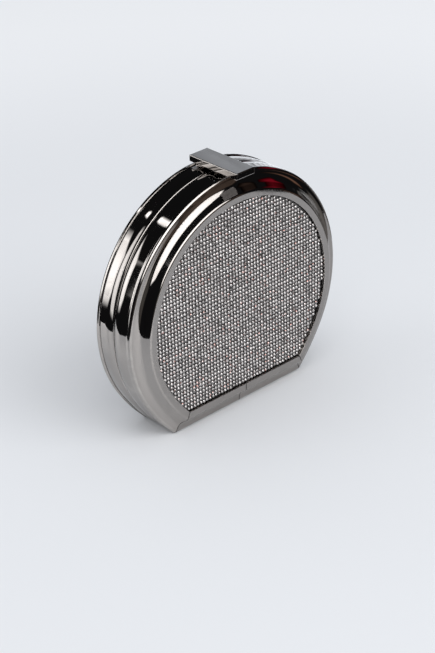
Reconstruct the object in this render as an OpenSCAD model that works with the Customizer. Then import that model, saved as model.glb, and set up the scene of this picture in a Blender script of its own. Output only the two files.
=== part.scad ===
// Rigid evening case: two polished metal half shells hinged along the flat base, each filled
// with a panel of crystal mesh, and held shut by a magnetic lift bar across the top.
// X runs along the base, the front panel faces -Y, Z is up, and the base stands on z = 0.

/* [Outline] */
// Radius of the panel opening, measured to the inner edge of the rim
rim_r = 56; // [50:1:64]
// Radius of the straighter lower sides of the opening
lower_r = 95; // [85:1:130]
// Angle from the top at which the lower sides begin
lower_start = 120; // [112:1:124]
// Height of the centre of the round part above the base
centre_z = 55.8; // [50:0.2:62]

/* [Case] */
// Depth of one half shell, from the rim face to the parting plane
half_depth = 17.6; // [16:0.2:22]
// Width of the moulding, from the opening to the outermost lip
moulding_w = 12.4; // [12:0.2:14]
// Gap between the two halves at the parting plane
seam_gap = 0.3; // [0.2:0.05:0.5]
// Width of the hairline where moulding strips are soldered together
joint_gap = 0.16; // [0.1:0.02:0.3]

/* [Moulding] */
// Width of the flat rim face around the panel
rim_w = 2.9; // [2.2:0.1:3.4]
// Thickness of the rim flange
rim_t = 2.2; // [1.8:0.1:2.4]
// Radius of the rounded outer edge of the rim face
edge_r = 1.5; // [1.2:0.1:2]
// Steepest slope of the moulding, between the round edge and the cove
ogee_angle = 54; // [52:1:56]
// Length of the straight slope between the round edge and the cove
slope_len = 3.8; // [3.5:0.1:4.1]
// Radius of the hollow cove
cove_r = 3.7; // [3.4:0.1:4]
// Slope of the nearly flat flange between the cove and the lip
flange_angle = 5; // [2:1:8]
// Radius of the lip at the outer edge
lip_r = 0.5; // [0.4:0.1:0.6]
// Width of the flat land on the lip, on which the case stands
land_w = 0.6; // [0.4:0.1:0.8]
// Depth of the groove behind the lip
groove = 0.6; // [0.4:0.1:0.7]
// Slope at which the side wall rises behind the groove
rise_angle = 6; // [4:1:7]
// Length of the rising part of the side wall
rise_len = 4; // [3.2:0.1:4.2]
// How much the rounded side wall falls in at the parting plane
waist = 0.9; // [0.8:0.1:1.2]
// Thickness of the side wall at the parting plane
wall_t = 1.3; // [1:0.1:1.6]
// Rounding of the edges at the parting plane
seam_edge = 0.4; // [0.2:0.1:0.6]

/* [Panels] */
// Thickness of the board behind each rim
board_t = 1.5; // [1:0.1:1.8]
// How far the board reaches behind the rim
board_lap = 2.4; // [1.5:0.1:2.6]
// Distance between neighbouring stones, along rows and columns
stone_pitch = 2; // [1.6:0.1:3]
// Gap between two neighbouring stones
stone_gap = 0.3; // [0.2:0.05:0.5]
// Height of a stone above the mesh that holds it
stone_h = 0.8; // [0.5:0.1:1]
// Thickness of the mesh that holds the stones
mesh_t = 0.5; // [0.3:0.1:0.8]
// Gap between the mesh and the rim
mesh_clear = 0.4; // [0.2:0.1:0.8]

/* [Lining] */
// Thickness of the fabric lining
lining_t = 0.6; // [0.4:0.1:0.8]
// Gap left around linings and the mouth tongue
lining_clear = 0.3; // [0.2:0.05:0.4]
// How far the linings end short of the parting plane
lining_short = 1; // [0.6:0.1:1.5]
// Thickness of the tongue that overlaps the joint from inside
tongue_t = 0.7; // [0.5:0.1:0.8]
// How far the tongue reaches into the front half
tongue_reach = 2; // [1:0.1:3]
// How far the tongue lies along the back half
tongue_seat = 5; // [3:0.5:7]
// Angle from the top at which the tongue ends on each side
tongue_end = 108; // [60:1:110]

/* [Base hinge] */
// Length of the base hinge
hinge_len = 58; // [40:1:62]
// Outer radius of the hinge knuckles
knuckle_r = 0.82; // [0.7:0.01:0.85]
// Radius of the hinge pin
hinge_pin_r = 0.42; // [0.3:0.01:0.45]
// Running clearance between the pin and the knuckles
pin_clear = 0.05; // [0.03:0.01:0.08]
// Number of hinge knuckles, shared by the two leaves
knuckles = 7; // [5:2:9]
// Gap at the ends of the knuckles
knuckle_gap = 0.2; // [0.15:0.05:0.4]
// Gap between the barrel and the edges of the shells
barrel_clear = 0.35; // [0.3:0.05:0.5]
// Thickness of a hinge leaf
leaf_t = 0.7; // [0.5:0.1:0.8]
// Width of a hinge leaf from the parting plane
leaf_w = 7; // [6:0.5:8]
// Shank radius of the hinge rivets
rivet_r = 0.7; // [0.5:0.05:0.9]
// Head radius of the hinge rivets
rivet_head_r = 1.2; // [1:0.1:1.5]
// Head height of the hinge rivets
rivet_head_h = 0.3; // [0.2:0.05:0.4]
// Distance of the rivets from the parting plane
rivet_y = 4.4; // [3.5:0.1:5]

/* [Lift bar] */
// Width of the lift bar
bar_w = 11.6; // [10.6:0.2:14]
// Length of the lift bar, front to back
bar_len = 32.6; // [31:0.2:33]
// Thickness of the lift bar
bar_t = 3.4; // [3.2:0.1:4.5]
// How far the tip of the lift bar stands out in front of the rim face
bar_overhang = 3.4; // [2:0.1:4]
// Gap between the lip and the underside of the lift bar
bar_lift = 1.1; // [1:0.1:1.6]
// Bevel along the edges of the lift bar
bar_bevel = 0.25; // [0.1:0.05:0.4]
// Distance of the bar's hinge line from its back end
bar_pin_back = 2.7; // [2.2:0.1:3]
// Height of the bar's hinge line above its underside
bar_pin_up = 1; // [0.9:0.1:1.2]
// Radius of the knuckle that carries the lift bar
bar_knuckle_r = 1.3; // [1.1:0.05:1.4]
// Half width of the knuckle that carries the lift bar
bar_knuckle_half = 2.4; // [1.6:0.1:2.8]
// Radius of the lift bar's pin
bar_pin_r = 0.5; // [0.4:0.05:0.6]
// Length of the lift bar's pin
bar_pin_len = 9; // [8:0.2:9.6]
// Gap around the knuckle and under the lift bar
bar_clear = 0.3; // [0.25:0.05:0.35]

/* [Clasp seats] */
// Half width of the blocks under the lift bar
seat_half = 3.6; // [3.2:0.1:4.2]
// Length of the blocks under the lift bar, front to back
seat_len = 6; // [5.6:0.1:6.4]
// Distance from the parting plane to the middle of the front block
catch_y = 6.4; // [5.8:0.1:6.8]
// Radius of the magnet and of the keeper below it
magnet_r = 2.2; // [1.5:0.1:2.4]
// Thickness of the magnet
magnet_t = 1.6; // [1:0.1:2]
// Thickness of the steel keeper
keeper_t = 0.6; // [0.4:0.1:0.7]
// Shank radius of the screws that hold the blocks
screw_r = 0.8; // [0.6:0.05:0.9]
// Head radius of the screws that hold the blocks
screw_head_r = 1.4; // [1.2:0.1:1.5]
// Head height of the screws that hold the blocks
screw_head_h = 0.7; // [0.5:0.1:0.8]
// How far a screw reaches into its block
screw_bite = 0.7; // [0.4:0.1:0.8]

/* [Hidden] */
$fn = 96;

// Overrun of every cut past the surface it leaves through
over = 1;
// Segments of each rounded stretch of the moulding
curve_steps = 8;
// Segments of a round stretch in the plates and linings
arc_steps = 40;
side_steps = 5;

// The parting plane lies behind the origin by half of the bar's overhang,
// so that the origin is in the middle of the whole depth.
seam_y = bar_overhang / 2;

// Lower side arcs: centre of the right-hand one, tangent to the round part at lower_start
arc_shift = lower_r - rim_r;
lower_cx = -arc_shift * sin(lower_start);
lower_cz = centre_z - arc_shift * cos(lower_start);

// Places in the section of the moulding, as [offset from the opening, depth from the rim face]
edge_c = [rim_w, edge_r];
cove_c = edge_c + (edge_r + cove_r) * [sin(ogee_angle), -cos(ogee_angle)]
  + slope_len * [cos(ogee_angle), sin(ogee_angle)];
cove_end = cove_c + cove_r * [-sin(flange_angle), cos(flange_angle)];
lip_start = moulding_w - lip_r * (1 - sin(flange_angle));
land_d = cove_end.y + (lip_start - cove_end.x) * tan(flange_angle) + lip_r * cos(flange_angle);
mouth_d = half_depth - seam_gap / 2;
wall_in = moulding_w - waist - wall_t;

board_d = rim_t + board_t;
mesh_d = rim_t - mesh_t - stone_h;
tongue_out = wall_in - lining_clear;
lining_out = tongue_out - tongue_t - lining_clear;

// Height of the moulding's surface above the base at the top of the case, for an offset
function crown(m) = centre_z + rim_r + m;

// Section points along an arc: centre, radius, first and last angle
function arc(c, r, from, to, steps = curve_steps) =
  [for (i = [0:steps]) c + r * [cos(from + (to - from) * i / steps), sin(from + (to - from) * i / steps)]];

// The side wall: it rises behind the groove, then rounds over in one arc and falls in to the mouth
wall_foot = [moulding_w - groove, land_d + land_w + groove];
wall_top = wall_foot + rise_len * [sin(rise_angle), cos(rise_angle)];
wall_mouth = [moulding_w - waist, mouth_d - seam_edge];
wall_chord = wall_mouth - wall_top;
wall_r = norm(wall_chord) ^ 2 / 2 / (wall_chord * [-cos(rise_angle), sin(rise_angle)]);
wall_c = wall_top + wall_r * [-cos(rise_angle), sin(rise_angle)];
wall_turn = 2 * asin(norm(wall_chord) / 2 / wall_r);
wall_curve = concat([wall_foot], arc(wall_c, wall_r, -rise_angle, wall_turn - rise_angle));
function wall_m(d) = wall_c.x + sqrt(wall_r ^ 2 - (d - wall_c.y) ^ 2);

outer_section = concat(
  [[0, 0]],
  arc(edge_c, edge_r, -90, -90 + ogee_angle),
  arc(cove_c, cove_r, 90 + ogee_angle, 90 + flange_angle),
  arc([moulding_w - lip_r, land_d], lip_r, -90 + flange_angle, 0),
  [[moulding_w, land_d + land_w]],
  wall_curve,
  [[moulding_w - waist - seam_edge, mouth_d]]
);

inner_section = [
  [wall_in, mouth_d],
  [wall_in, board_d + wall_in / 2],
  [rim_w, rim_t],
  [0, rim_t]
];
frame_section = concat(outer_section, inner_section);

// Angle, about the centre of a lower side, at which the offset outline meets the base rail
function corner_angle(m) = acos((moulding_w - m - lower_cz) / (lower_r + m));
function corner_x(m) = lower_cx + (lower_r + m) * sin(corner_angle(m));
// Angle at which a lower side ends before it is mitred: a degree past the corner
side_run_on = 1;
side_end = corner_angle(moulding_w) + side_run_on;

// Half of the offset outline, from the top to the right-hand corner, as [x, z]
function half_outline(m) = concat(
  [for (i = [1:arc_steps]) let (a = lower_start * i / arc_steps)
    [(rim_r + m) * sin(a), centre_z + (rim_r + m) * cos(a)]],
  [for (i = [1:side_steps]) let (a = lower_start + (corner_angle(m) - lower_start) * i / side_steps)
    [lower_cx + (lower_r + m) * sin(a), lower_cz + (lower_r + m) * cos(a)]]
);
function outline(m) = concat(
  [[0, crown(m)]],
  half_outline(m),
  [for (i = [arc_steps + side_steps - 1:-1:0]) let (p = half_outline(m)[i]) [-p.x, p.y]]
);

// Puts a half shell in place: built with the parting plane at y = 0 and its rim at y < 0
module front_half() {
  translate([0, seam_y, 0]) children();
}
module back_half() {
  translate([0, seam_y, 0]) mirror([0, 1, 0]) children();
}

// A flat shape in X and Z, extruded between two depths behind the rim face
module slab(d0, d1) {
  translate([0, d1 - half_depth, 0]) rotate([90, 0, 0]) linear_extrude(d1 - d0) children();
}
module plate(m, d0, d1) {
  slab(d0, d1) polygon(outline(m));
}

// A section of [offset, depth] swept round the case's outline
module sweep_arc(radius, cx, cz, from, to, section) {
  translate([cx, -half_depth, cz]) rotate([-90, 0, 0]) rotate([0, 0, from - 90])
    rotate_extrude(angle = to - from) translate([radius, 0]) polygon(section);
}
// A lower side starts a few tenths of a degree inside the round part and is set in by a hair,
// so that no two surfaces nearly coincide and the strip fuses into one solid
side_lap = 0.3;
side_step = 0.02;
module sweep_side(section) {
  sweep_arc(lower_r - side_step, lower_cx, lower_cz, lower_start - side_lap, side_end, section);
}
module sweep_rail(length, section) {
  translate([0, -half_depth, moulding_w]) rotate([0, 90, 0]) linear_extrude(length) polygon(section);
}

// The wedge between the two mitre planes, widened or narrowed along X
module mitre_zone(widen) {
  inner_x = corner_x(0) + widen;
  outer_x = corner_x(moulding_w) + widen;
  low_x = 2 * outer_x - inner_x;
  slab(-over, half_depth + over)
    polygon([[-inner_x, moulding_w], [-low_x, -moulding_w], [low_x, -moulding_w], [inner_x, moulding_w]]);
}

// Space kept free round the barrel of the base hinge
module barrel_room() {
  room = knuckle_r + barrel_clear;
  translate([-hinge_len / 2 - knuckle_gap, -room, -over])
    cube([hinge_len + 2 * knuckle_gap, room + over, moulding_w - wall_in + 2 * over]);
}

// Places of the four rivets along the base hinge, as shares of its length
rivet_shares = [-0.42, -0.14, 0.14, 0.42];
module at_rivets() {
  for (share = rivet_shares) translate([share * hinge_len, -rivet_y, 0]) children();
}

// The hole through the crown for a block's screw, with its head sunk into the inside
module crown_screw(y, extra) {
  translate([0, y, crown(wall_in) - extra]) {
    cylinder(r = screw_head_r + extra, h = screw_head_h + extra);
    cylinder(r = screw_r + extra, h = screw_reach + extra);
  }
}

module frame_arc(screw_y) {
  difference() {
    union() {
      sweep_arc(rim_r, 0, centre_z, -lower_start, lower_start, frame_section);
      sweep_side(frame_section);
      mirror([1, 0, 0]) sweep_side(frame_section);
    }
    mitre_zone(joint_gap / 2);
    crown_screw(screw_y, screw_clear);
    translate([0, screw_y, crown(0)]) cylinder(r = screw_head_r + screw_clear, h = wall_in + screw_head_h);
  }
}

module rail_right() {
  difference() {
    intersection() {
      translate([joint_gap / 2, 0, 0]) sweep_rail(corner_x(moulding_w), frame_section);
      mitre_zone(-joint_gap / 2);
    }
    barrel_room();
    at_rivets() translate([0, 0, -over]) cylinder(r = rivet_r + pin_clear, h = moulding_w - wall_in + 2 * over);
  }
}
module rail_left() {
  mirror([1, 0, 0]) rail_right();
}

module board() {
  plate(board_lap, rim_t, board_d);
}

// Rows of stones set in a thin mesh; each row is one strip here
module crystal_mesh() {
  plate(-mesh_clear, rim_t - mesh_t, rim_t);
  rows = floor((crown(0) - moulding_w) / stone_pitch);
  intersection() {
    plate(-mesh_clear, mesh_d, rim_t);
    translate([-lower_r, mesh_d - half_depth, moulding_w + mesh_clear])
      for (i = [0:rows - 1])
        translate([0, 0, i * stone_pitch])
          cube([2 * lower_r, stone_h + mesh_t, stone_pitch - stone_gap]);
  }
}

// A tray of fabric: floor, sloping cove and side wall, skinned from rings of the outline
module lining() {
  floor_m = rim_w + lining_t;
  rings = [
    [floor_m, board_d],
    [lining_out, board_d + wall_in / 2 + lining_t],
    [lining_out, half_depth - lining_short],
    [lining_out - lining_t, half_depth - lining_short],
    [lining_out - lining_t, board_d + wall_in / 2 + 2 * lining_t],
    [floor_m - lining_t, board_d + lining_t]
  ];
  count = len(outline(0));
  points = [for (r = rings) for (p = outline(r.x)) [p.x, r.y - half_depth, p.y]];
  last = len(rings) - 1;
  walls = [for (k = [0:last - 1]) for (i = [0:count - 1]) let (j = (i + 1) % count)
    [k * count + i, k * count + j, (k + 1) * count + j, (k + 1) * count + i]];
  bottom = [[for (i = [count - 1:-1:0]) i]];
  inside = [[for (i = [0:count - 1]) last * count + i]];
  polyhedron(points, concat(bottom, walls, inside), convexity = 6);
}

// A thin curved strip inside the joint, fixed in the back half
module tongue() {
  strip = [
    [tongue_out - tongue_t, half_depth - tongue_seat],
    [tongue_out, half_depth - tongue_seat],
    [tongue_out, half_depth + tongue_reach],
    [tongue_out - tongue_t, half_depth + tongue_reach]
  ];
  sweep_arc(rim_r, 0, centre_z, -tongue_end, tongue_end, strip);
}

// Base hinge. Its axis lies on the parting plane at the outside of the side wall's mouth.
axis_z = waist;
knuckle_pitch = hinge_len / knuckles;
leaf_z = moulding_w - wall_in;

module along_hinge(x, length, radius) {
  translate([x, 0, axis_z]) rotate([0, 90, 0]) cylinder(r = radius, h = length);
}
module leaf(first) {
  difference() {
    union() {
      translate([-hinge_len / 2, -leaf_w, leaf_z])
        cube([hinge_len, leaf_w - knuckle_gap, leaf_t]);
      for (i = [first:2:knuckles - 1]) {
        x = -hinge_len / 2 + i * knuckle_pitch + knuckle_gap / 2;
        along_hinge(x, knuckle_pitch - knuckle_gap, knuckle_r);
        translate([x, -knuckle_r, axis_z])
          cube([knuckle_pitch - knuckle_gap, knuckle_r - knuckle_gap, leaf_z + leaf_t - axis_z]);
      }
    }
    along_hinge(-hinge_len / 2 - over, hinge_len + 2 * over, hinge_pin_r + pin_clear);
    at_rivets() translate([0, 0, leaf_z - over]) cylinder(r = rivet_r + pin_clear, h = leaf_t + 2 * over);
  }
}
module rivets() {
  foot_z = moulding_w - wall_m(half_depth - rivet_y) + pin_clear;
  at_rivets() {
    translate([0, 0, foot_z]) cylinder(r = rivet_r, h = leaf_z + leaf_t + rivet_head_h / 2 - foot_z);
    translate([0, 0, leaf_z + leaf_t]) cylinder(r = rivet_head_r, h = rivet_head_h);
  }
}

// Lift bar and its seats, placed from the underside of the bar
bar_z = crown(moulding_w) + bar_lift;
bar_front = -half_depth - bar_overhang;
bar_pin_y = bar_front + bar_len - bar_pin_back;
bar_pin_z = bar_z + bar_pin_up;
seat_top = bar_z - bar_clear;
neck_half = bar_knuckle_r / 2;
screw_clear = pin_clear;
screw_reach = wall_t + screw_bite;

// A block that stands on the crown, its underside fitted to the side wall
module crown_block(y0, length) {
  difference() {
    translate([-seat_half, y0, crown(wall_in)])
      cube([2 * seat_half, length, seat_top - crown(wall_in)]);
    crown_form();
  }
}
// The lip's full height and the side wall of both halves, turned about the centre of the
// round part. It reaches forward to the rim faces, so no block can dip in front of a lip.
crown_angle = 15;
crown_fn = 480;
module crown_form() {
  form = concat(
    [[0, 0], [moulding_w, 0], [moulding_w, land_d + land_w]],
    wall_curve,
    [[moulding_w - waist, half_depth], [0, half_depth]]
  );
  for (side = [0, 1]) mirror([0, side, 0])
    sweep_arc(rim_r, 0, centre_z, -crown_angle, crown_angle, form, $fn = crown_fn);
}

module hinge_block() {
  block_back = bar_pin_y + neck_half;
  difference() {
    union() {
      crown_block(block_back - seat_len, seat_len);
      translate([-bar_knuckle_half, bar_pin_y - neck_half, seat_top - bar_clear])
        cube([2 * bar_knuckle_half, 2 * neck_half, bar_pin_z - seat_top + bar_clear]);
      bar_axis(bar_knuckle_half, bar_knuckle_r);
    }
    bar_axis(bar_knuckle_half + over, bar_pin_r + pin_clear);
    crown_screw(hinge_screw_y, screw_clear);
  }
}
hinge_screw_y = bar_pin_y + neck_half - seat_len / 2 - screw_r;

module bar_axis(half, radius) {
  translate([-half, bar_pin_y, bar_pin_z]) rotate([0, 90, 0]) cylinder(r = radius, h = 2 * half);
}

module catch_seat() {
  difference() {
    crown_block(-catch_y - seat_len / 2, seat_len);
    crown_screw(-catch_y, screw_clear);
    translate([0, -catch_y, seat_top - keeper_t]) cylinder(r = magnet_r + pin_clear, h = keeper_t + over);
  }
}

// Side view of the bar with bevelled edges, extruded across its width
module bevelled(w, t, length) {
  b = bar_bevel;
  linear_extrude(length)
    polygon([[b, 0], [w - b, 0], [w, b], [w, t - b], [w - b, t], [b, t], [0, t - b], [0, b]]);
}
module bar_blank() {
  translate([-bar_w / 2, bar_front, bar_z]) intersection() {
    rotate([90, 0, 90]) bevelled(bar_len, bar_t, bar_w);
    translate([0, bar_len, 0]) rotate([90, 0, 0]) bevelled(bar_w, bar_t, bar_len);
    bevelled(bar_w, bar_len, bar_t);
  }
}
module bar() {
  slot_half = bar_knuckle_half + bar_clear;
  slot_r = bar_knuckle_r + bar_clear;
  difference() {
    bar_blank();
    bar_axis(slot_half, slot_r);
    translate([-slot_half, bar_pin_y - slot_r, bar_z - over])
      cube([2 * slot_half, 2 * slot_r, bar_pin_up + over]);
    bar_axis(bar_pin_len / 2 + pin_clear, bar_pin_r + pin_clear);
    translate([0, -catch_y, bar_z - over]) cylinder(r = magnet_r + pin_clear, h = magnet_t + over);
  }
}

// Back half
module back_frame_arc() {
  color("dimgray") back_half() frame_arc(-hinge_screw_y);
}
module back_rail_left() {
  color("dimgray") back_half() rail_left();
}
module back_rail_right() {
  color("dimgray") back_half() rail_right();
}
module back_board() {
  color("#202022") back_half() board();
}
module back_crystal_mesh() {
  color("silver") back_half() crystal_mesh();
}
module back_lining() {
  color("#2b2b2e") back_half() lining();
}
module mouth_tongue() {
  color("gray") back_half() tongue();
}
module hinge_leaf_back() {
  color("gray") back_half() leaf(0);
}
module hinge_rivets_back() {
  color("silver") back_half() rivets();
}
module hinge_pin() {
  color("silver") front_half() along_hinge(-hinge_len / 2, hinge_len, hinge_pin_r);
}
module bar_hinge_block() {
  color("gray") front_half() hinge_block();
}
module bar_hinge_screw() {
  color("silver") front_half() crown_screw(hinge_screw_y, 0);
}
module bar_pin() {
  color("silver") front_half() bar_axis(bar_pin_len / 2, bar_pin_r);
}

// Front half
module front_frame_arc() {
  color("dimgray") front_half() frame_arc(-catch_y);
}
module front_rail_left() {
  color("dimgray") front_half() rail_left();
}
module front_rail_right() {
  color("dimgray") front_half() rail_right();
}
module front_board() {
  color("#202022") front_half() board();
}
module front_crystal_mesh() {
  color("silver") front_half() crystal_mesh();
}
module front_lining() {
  color("#2b2b2e") front_half() lining();
}
module hinge_leaf_front() {
  color("gray") front_half() leaf(1);
}
module hinge_rivets_front() {
  color("silver") front_half() rivets();
}
module catch_block() {
  color("gray") front_half() catch_seat();
}
module catch_screw() {
  color("silver") front_half() crown_screw(-catch_y, 0);
}
module catch_keeper() {
  color("silver") front_half()
    translate([0, -catch_y, seat_top - keeper_t]) cylinder(r = magnet_r, h = keeper_t);
}

// Lift bar
module lift_bar() {
  color("#85878a") front_half() bar();
}
module bar_magnet() {
  color("#55565a") front_half()
    translate([0, -catch_y, bar_z]) cylinder(r = magnet_r, h = magnet_t);
}

back_frame_arc();
back_rail_left();
back_rail_right();
back_board();
back_crystal_mesh();
back_lining();
mouth_tongue();
hinge_leaf_back();
hinge_rivets_back();
hinge_pin();
bar_hinge_block();
bar_hinge_screw();
bar_pin();
front_frame_arc();
front_rail_left();
front_rail_right();
front_board();
front_crystal_mesh();
front_lining();
hinge_leaf_front();
hinge_rivets_front();
catch_block();
catch_screw();
catch_keeper();
lift_bar();
bar_magnet();
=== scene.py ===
import math

import bmesh
import bpy
import numpy as np
from bpy.props import FloatProperty, FloatVectorProperty, IntProperty, PointerProperty
from mathutils import Matrix, Vector


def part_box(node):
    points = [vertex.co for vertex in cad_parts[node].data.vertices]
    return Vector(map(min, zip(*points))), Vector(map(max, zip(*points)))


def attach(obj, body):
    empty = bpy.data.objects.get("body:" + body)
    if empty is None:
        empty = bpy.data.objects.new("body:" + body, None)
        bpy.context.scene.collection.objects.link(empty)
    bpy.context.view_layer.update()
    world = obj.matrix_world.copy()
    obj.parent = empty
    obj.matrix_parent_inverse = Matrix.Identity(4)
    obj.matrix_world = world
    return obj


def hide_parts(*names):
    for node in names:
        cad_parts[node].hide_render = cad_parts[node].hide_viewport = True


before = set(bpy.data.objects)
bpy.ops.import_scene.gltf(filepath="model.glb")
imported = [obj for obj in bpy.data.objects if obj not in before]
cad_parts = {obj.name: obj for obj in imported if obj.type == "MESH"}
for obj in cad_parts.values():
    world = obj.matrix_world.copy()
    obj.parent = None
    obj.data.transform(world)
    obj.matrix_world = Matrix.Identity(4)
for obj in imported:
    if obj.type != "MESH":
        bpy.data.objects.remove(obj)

bl_info = {
    "name": "Evening case with crystal panels",
    "version": (1, 0, 0),
    "blender": (4, 5, 0),
    "location": "3D View > Sidebar > Evening case",
    "description": "Dresses the packed evening case: polished frames, crystal panels, lining and bar",
    "category": "Object",
}

HALVES = {"front": "front_half", "back": "back_half"}


def length(name, description, default, low=0.0, high=1.0):
    return FloatProperty(name=name, description=description, default=default, min=low, max=high,
                         unit="LENGTH", precision=5)


def colour(name, description, default):
    return FloatVectorProperty(name=name, description=description, default=default, size=3,
                               subtype="COLOR", min=0.0, max=1.0)


def share(name, description, default, high=1.0):
    return FloatProperty(name=name, description=description, default=default, min=0.0, max=high,
                         subtype="FACTOR")


def angle(name, description, degrees):
    return FloatProperty(name=name, description=description, default=math.radians(degrees), subtype="ANGLE")


def watts(name, description, default):
    return FloatProperty(name=name, description=description, default=default, min=0.0, unit="POWER")


# Sizes and colours a user would change


class CaseSizes(bpy.types.PropertyGroup):
    """Outline and moulding of one half shell"""
    rim_radius: length("Opening radius", "Radius of the round part of the panel opening", 0.056)
    lower_radius: length("Side radius", "Radius of the straighter lower sides of the opening", 0.095)
    lower_start: angle("Side start", "Angle from the top where the lower sides begin", 120)
    centre_height: length("Centre height", "Height of the centre of the round part", 0.0558)
    half_depth: length("Half depth", "Depth of one half, from the rim face to the parting plane", 0.0176)
    parting_y: length("Parting plane", "Place of the parting plane along the depth", 0.0017, -1.0)
    moulding: length("Moulding width", "From the opening to the outermost lip", 0.0124)
    seam_gap: length("Seam gap", "Gap between the halves at the parting plane", 0.0003)
    joint_gap: length("Joint gap", "Hairline where moulding strips are soldered together", 0.0004)
    rim_width: length("Rim width", "Width of the flat rim face", 0.0029)
    rim_thick: length("Rim thickness", "Thickness of the rim flange", 0.0022)
    edge_radius: length("Edge radius", "Rounded outer edge of the rim face", 0.0015)
    ogee: angle("Ogee angle", "Steepest slope of the moulding", 54)
    slope_length: length("Slope length", "Straight slope between the rounded edge and the cove", 0.0026)
    cove_radius: length("Cove radius", "Hollow cove", 0.00607)
    flange: angle("Flange angle", "Slope of the flange between cove and lip", 5)
    lip_radius: length("Lip radius", "Rounding of the lip at the outer edge", 0.0018)
    land: length("Land", "Width of the flat land on the lip", 0.0006)
    groove: length("Groove", "Depth of the groove behind the lip", 0.0006)
    rise: angle("Rise angle", "Slope of the side wall behind the groove", 6)
    rise_length: length("Rise length", "Length of the rising part of the side wall", 0.004)
    waist: length("Waist", "How much the side wall falls in at the parting plane", 0.0009)
    wall: length("Wall", "Thickness of the side wall at the parting plane", 0.0013)
    seam_edge: length("Seam edge", "Rounding of the edges at the parting plane", 0.0004)
    board: length("Board", "Thickness of the board behind each rim", 0.0015)
    arc_steps: IntProperty(name="Steps", description="Steps round the arched part", default=264, min=24)


class PanelSizes(bpy.types.PropertyGroup):
    """Stones and the mesh that holds them"""
    pitch: length("Stone pitch", "Distance between neighbouring stones", 0.002)
    gap: length("Stone gap", "Gap between two neighbouring stones", 0.0003)
    mesh_gap: length("Mesh gap", "Gap between the mesh and the rim", 0.0004)
    mesh_thick: length("Mesh thickness", "Thickness of the mesh", 0.0005)
    stone_rise: length("Stone rise", "Height of a stone's table above the mesh", 0.0008)
    table_share: share("Table share", "Width of a stone's flat table as a share of its width", 0.52)
    under: length("Under the rim", "How far stones at the border may sit under the rim", 0.00035)
    tilt: angle("Tilt", "How far single stones sit askew", 5.0)
    seed: IntProperty(name="Seed", description="Seed of the stones' scatter", default=11)


class LiningSizes(bpy.types.PropertyGroup):
    """Fabric trays and the tongue at the mouth"""
    thick: length("Thickness", "Thickness of the fabric", 0.0006)
    clear: length("Clearance", "Gap left round the linings and the tongue", 0.0003)
    short: length("Short of the mouth", "How far the linings end short of the parting plane", 0.001)
    hem: length("Hem", "Radius of the rolled hem", 0.00055)
    puff: length("Puff", "How far the floor of the tray swells in the middle", 0.0006)
    tongue: length("Tongue", "Thickness of the tongue", 0.0007)
    tongue_reach: length("Tongue reach", "How far the tongue reaches past the parting plane", 0.002)
    tongue_seat: length("Tongue seat", "How far the tongue lies along the back half", 0.005)
    tongue_end: angle("Tongue end", "Angle from the top where the tongue ends", 108)


class BarSizes(bpy.types.PropertyGroup):
    """Lift bar across the top"""
    edge: length("Edge", "Rounding of the bar's edges", 0.00045)
    slot_half: length("Slot half width", "Half width of the slot for the knuckle", 0.0027)
    slot_radius: length("Slot radius", "Radius of the slot round the knuckle", 0.0016)
    pin_back: length("Pin from the back", "Distance of the pin from the back end", 0.0027)
    pin_up: length("Pin height", "Height of the pin above the underside", 0.001)
    bore: length("Bore radius", "Radius of the pin's bore", 0.00055)
    bore_half: length("Bore half length", "Half length of the pin's bore", 0.00455)
    magnet_radius: length("Magnet bore radius", "Radius of the magnet's seat", 0.00225)
    magnet_deep: length("Magnet depth", "Depth of the magnet's seat", 0.0016)


class Finishes(bpy.types.PropertyGroup):
    """Colours of the metals, stones, fabric and studio"""
    gunmetal: colour("Gunmetal", "Polished black nickel", (0.342, 0.323, 0.309))
    gunmetal_worn: colour("Worn gunmetal", "Where handling has thinned the plating", (0.46, 0.44, 0.42))
    steel: colour("Steel", "Hinge leaves, pins and screws", (0.52, 0.515, 0.50))
    stone: colour("Stone", "Foiled crystal", (0.60, 0.575, 0.565))
    # Colour of the painted warm glints on a few facets
    fire: colour("Fire", "Facets that flash warm", (0.85, 0.28, 0.20))
    mesh: colour("Mesh", "Metal cups round the stones", (0.19, 0.185, 0.185))
    suede: colour("Suede", "Lining", (0.030, 0.029, 0.031))
    board: colour("Board", "Backing board", (0.055, 0.052, 0.050))
    floor: colour("Table", "Pale table top", (0.835, 0.846, 0.864))
    # Painted light: the paler colour further out stands in for brighter light there.
    floor_far: colour("Far table", "Pale table top further out", (0.965, 0.970, 0.980))
    room: colour("Background", "Pale background", (0.79, 0.812, 0.848))


class Studio(bpy.types.PropertyGroup):
    """Camera and light"""
    camera_place: FloatVectorProperty(name="Camera", description="Place of the camera", subtype="TRANSLATION",
                                      default=(-0.51747, -0.56998, 0.47099), precision=5)
    azimuth: angle("Azimuth", "Viewing angle round the case", -42.045)
    elevation: angle("Elevation", "Viewing angle above the table", 29.321)
    roll: angle("Roll", "Camera roll", -1.960)
    lens: FloatProperty(name="Lens", description="Focal length for a 36 mm sensor", default=98.70,
                        subtype="DISTANCE_CAMERA")
    table_radius: length("Table radius", "How far the pale table shows in the metal", 0.206)
    dome: length("Room radius", "Radius of the dark room that the metal reflects", 1.5, 0.3, 5.0)
    room_light: FloatProperty(name="Room light", description="Strength of the even light from all round",
                              default=0.80, min=0.0)
    key: watts("Key light", "Power of the soft light above the camera", 8)
    side: watts("Side light", "Power of the soft light behind at the left", 3.5)
    fill: watts("Fill light", "Power of the soft light in front at the right", 18)


def settings():
    return bpy.context.scene.evening_case


class EveningCase(bpy.types.PropertyGroup):
    """Everything that can be set on the case"""
    case: PointerProperty(type=CaseSizes, name="Case")
    panel: PointerProperty(type=PanelSizes, name="Panels")
    lining: PointerProperty(type=LiningSizes, name="Lining")
    bar: PointerProperty(type=BarSizes, name="Bar")
    finish: PointerProperty(type=Finishes, name="Finishes")
    studio: PointerProperty(type=Studio, name="Studio")


# Finishes


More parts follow.
